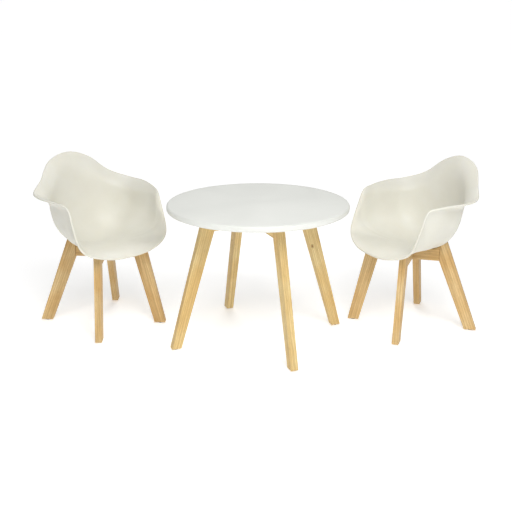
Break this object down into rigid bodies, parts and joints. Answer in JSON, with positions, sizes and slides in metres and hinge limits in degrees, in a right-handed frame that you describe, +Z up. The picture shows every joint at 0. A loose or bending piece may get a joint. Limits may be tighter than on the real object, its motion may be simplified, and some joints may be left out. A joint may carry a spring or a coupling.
{
  "type": "kids table and chairs",
  "caption": "Low round children's table on four splayed wooden legs, with moulded tub armchairs on matching wooden bases that slide in and out.",
  "frame": {"origin": "on the floor, under the middle of the whole set's bounding box", "axes": "+Z up; +X from the chair at the left to the chair at the right; the chairs face partly towards -Y"},
  "size_m": [1.5508, 0.6838, 0.59],
  "materials": {
    "lacquer": "smooth white lacquer",
    "oak": "clear matte oil over straight-grained light oak",
    "shell": "satin moulded polypropylene with a fine texture",
    "beech": "plain turned beech",
    "glide": "smooth moulded nylon",
    "steel": "zinc plated"
  },
  "bodies": {
    "table": {"table_top": "lacquer", "table_cross_beam_1": "oak", "table_cross_beam_2": "oak", "table_leg_back_right": "oak", "table_glide_back_right": "glide", "table_dowel_back_right": "beech", "table_screw_back_right": "steel", "table_leg_back_left": "oak", "table_glide_back_left": "glide", "table_dowel_back_left": "beech", "table_screw_back_left": "steel", "table_leg_front_left": "oak", "table_glide_front_left": "glide", "table_dowel_front_left": "beech", "table_screw_front_left": "steel", "table_leg_front_right": "oak", "table_glide_front_right": "glide", "table_dowel_front_right": "beech", "table_screw_front_right": "steel"},
    "left_chair": {"left_chair_shell": "shell", "left_chair_cross_beam_1": "oak", "left_chair_cross_beam_2": "oak", "left_chair_leg_back_left": "oak", "left_chair_glide_back_left": "glide", "left_chair_dowel_back_left": "beech", "left_chair_screw_back_left": "steel", "left_chair_leg_back_right": "oak", "left_chair_glide_back_right": "glide", "left_chair_dowel_back_right": "beech", "left_chair_screw_back_right": "steel", "left_chair_leg_front_right": "oak", "left_chair_glide_front_right": "glide", "left_chair_dowel_front_right": "beech", "left_chair_screw_front_right": "steel", "left_chair_leg_front_left": "oak", "left_chair_glide_front_left": "glide", "left_chair_dowel_front_left": "beech", "left_chair_screw_front_left": "steel"},
    "right_chair": {"right_chair_shell": "shell", "right_chair_cross_beam_1": "oak", "right_chair_cross_beam_2": "oak", "right_chair_leg_back_left": "oak", "right_chair_glide_back_left": "glide", "right_chair_dowel_back_left": "beech", "right_chair_screw_back_left": "steel", "right_chair_leg_back_right": "oak", "right_chair_glide_back_right": "glide", "right_chair_dowel_back_right": "beech", "right_chair_screw_back_right": "steel", "right_chair_leg_front_right": "oak", "right_chair_glide_front_right": "glide", "right_chair_dowel_front_right": "beech", "right_chair_screw_front_right": "steel", "right_chair_leg_front_left": "oak", "right_chair_glide_front_left": "glide", "right_chair_dowel_front_left": "beech", "right_chair_screw_front_left": "steel"}
  },
  "joints": [
    {"name": "left_chair_pull_out", "type": "slide", "parent": "table", "child": "left_chair", "axis": [-0.6896, 0.7242, 0], "range_m": [-0.04, 0.3]},
    {"name": "right_chair_pull_out", "type": "slide", "parent": "table", "child": "right_chair", "axis": [0.8862, 0.4633, 0], "range_m": [-0.04, 0.3]}
  ]
}
